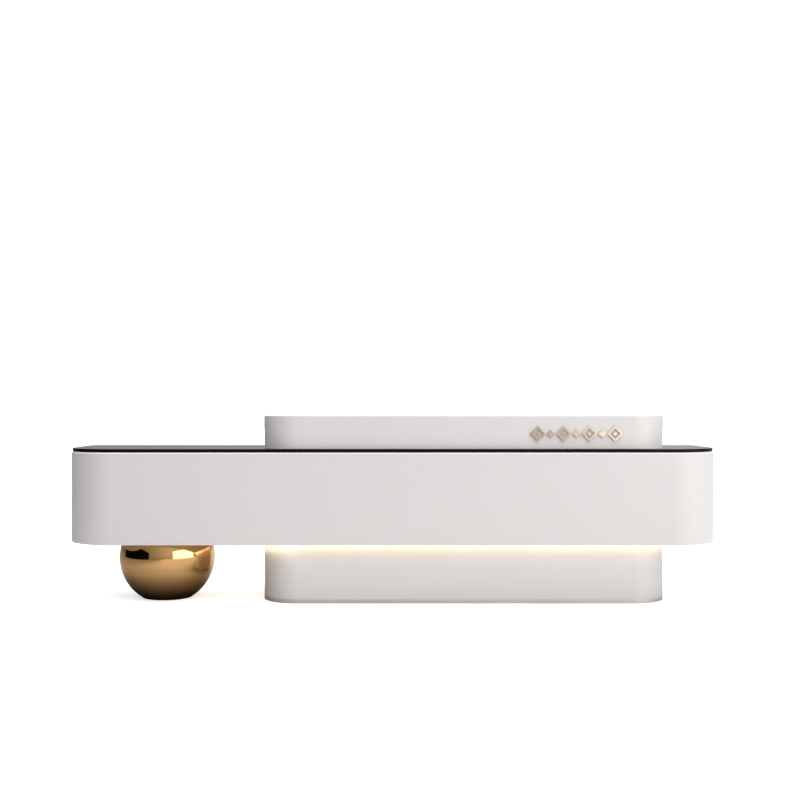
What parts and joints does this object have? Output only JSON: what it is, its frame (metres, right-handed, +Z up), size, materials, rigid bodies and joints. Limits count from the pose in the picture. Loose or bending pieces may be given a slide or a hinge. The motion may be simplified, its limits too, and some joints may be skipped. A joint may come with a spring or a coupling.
{
  "type": "checkout counter",
  "caption": "Long floating reception and checkout counter with a black top, a raised guard, a lit recessed plinth, a polished ball support, drawers, doors and a tray.",
  "frame": {"origin": "on the floor under the middle of the counter's bounding box", "axes": "+X to the right along the customer side's length, +Y from the customer side to the staff side, +Z up"},
  "size_m": [3.6, 0.65, 1.02],
  "materials": {
    "white_lacquer": "satin sprayed lacquer over board",
    "black_top": "polished black top",
    "white_board": "white melamine faced board",
    "grey_skirting": "brushed skirting",
    "gold": "mirror polished gold tone",
    "champagne": "satin champagne gold",
    "steel": "zinc plated",
    "aluminium": "natural extrusion",
    "opal": "opal cover",
    "light_tape": "light emitting tape",
    "dark_plastic": "fine texture",
    "white_plastic": "fine texture",
    "rubber": "matte"
  },
  "bodies": {
    "counter": {"countertop_glass": "black_top", "sub_top_board": "white_board", "body_front_shell": "white_lacquer", "body_floor_board": "white_board", "divider_1": "white_board", "divider_2": "white_board", "divider_3": "white_board", "divider_4": "white_board", "divider_5": "white_board", "cabinet_shelf": "white_board", "open_bay_shelf": "white_board", "shelf_pins": "steel", "riser_shell": "white_lacquer", "riser_top": "white_lacquer", "riser_divider_1": "white_board", "riser_divider_2": "white_board", "riser_ornament": "champagne", "plinth_shell": "white_lacquer", "plinth_skirting": "grey_skirting", "plinth_rib_1": "white_board", "plinth_rib_2": "white_board", "levelling_feet": "steel", "anchor_brackets": "steel", "plinth_service_panel": "white_board", "panel_screws": "steel", "light_channel": "aluminium", "light_cover": "opal", "light_tape": "light_tape", "light_driver": "white_plastic", "power_inlet": "dark_plastic", "light_switch_housing": "white_plastic", "ball_shell": "gold", "ball_post": "steel", "ball_foot_pad": "rubber", "grommet_ring": "dark_plastic", "lock_keeper": "steel", "drawer_rails": "steel", "tray_rails": "steel", "fixed_hinge_leaves": "champagne"},
    "top_drawer": {"top_drawer_front": "white_lacquer", "top_drawer_box": "white_board", "top_drawer_knob": "champagne", "top_drawer_runners": "steel"},
    "drawer_lock": {"lock_barrel": "champagne", "lock_cam": "steel"},
    "deep_drawer": {"deep_drawer_front": "white_lacquer", "deep_drawer_box": "white_board", "deep_drawer_knob": "champagne", "deep_drawer_runners": "steel"},
    "tray": {"keyboard_tray": "white_board", "tray_runners": "steel"},
    "door_left": {"left_door": "white_lacquer", "left_door_knob": "champagne", "left_door_hinge_leaves": "champagne"},
    "door_right": {"right_door": "white_lacquer", "right_door_knob": "champagne", "right_door_hinge_leaves": "champagne"},
    "port_cap": {"grommet_cap": "dark_plastic"},
    "switch_button": {"light_switch_button": "dark_plastic"}
  },
  "joints": [
    {"name": "top_drawer_slide", "type": "slide", "parent": "counter", "child": "top_drawer", "axis": [0, 1, 0], "range_m": [0, 0.4]},
    {"name": "deep_drawer_slide", "type": "slide", "parent": "counter", "child": "deep_drawer", "axis": [0, 1, 0], "range_m": [0, 0.4]},
    {"name": "drawer_lock_turn", "type": "hinge", "parent": "top_drawer", "child": "drawer_lock", "pos_m": [0.777, 0.298, 0.775], "axis": [0, -1, 0], "range_deg": [0, 90]},
    {"name": "tray_slide", "type": "slide", "parent": "counter", "child": "tray", "axis": [0, 1, 0], "range_m": [0, 0.28]},
    {"name": "left_door_hinge", "type": "hinge", "parent": "counter", "child": "door_left", "pos_m": [-1.7205, 0.304, 0.572], "axis": [0, 0, 1], "range_deg": [0, 100]},
    {"name": "right_door_hinge", "type": "hinge", "parent": "counter", "child": "door_right", "pos_m": [-0.9105, 0.304, 0.572], "axis": [0, 0, -1], "range_deg": [0, 100]},
    {"name": "port_cap_turn", "type": "hinge", "parent": "counter", "child": "port_cap", "pos_m": [0.376, 0.17, 0.838], "axis": [0, 0, 1], "continuous": true},
    {"name": "switch_press", "type": "slide", "parent": "counter", "child": "switch_button", "axis": [0, 0, 1], "range_m": [0, 0.002], "stiffness_N_per_m": 400}
  ]
}
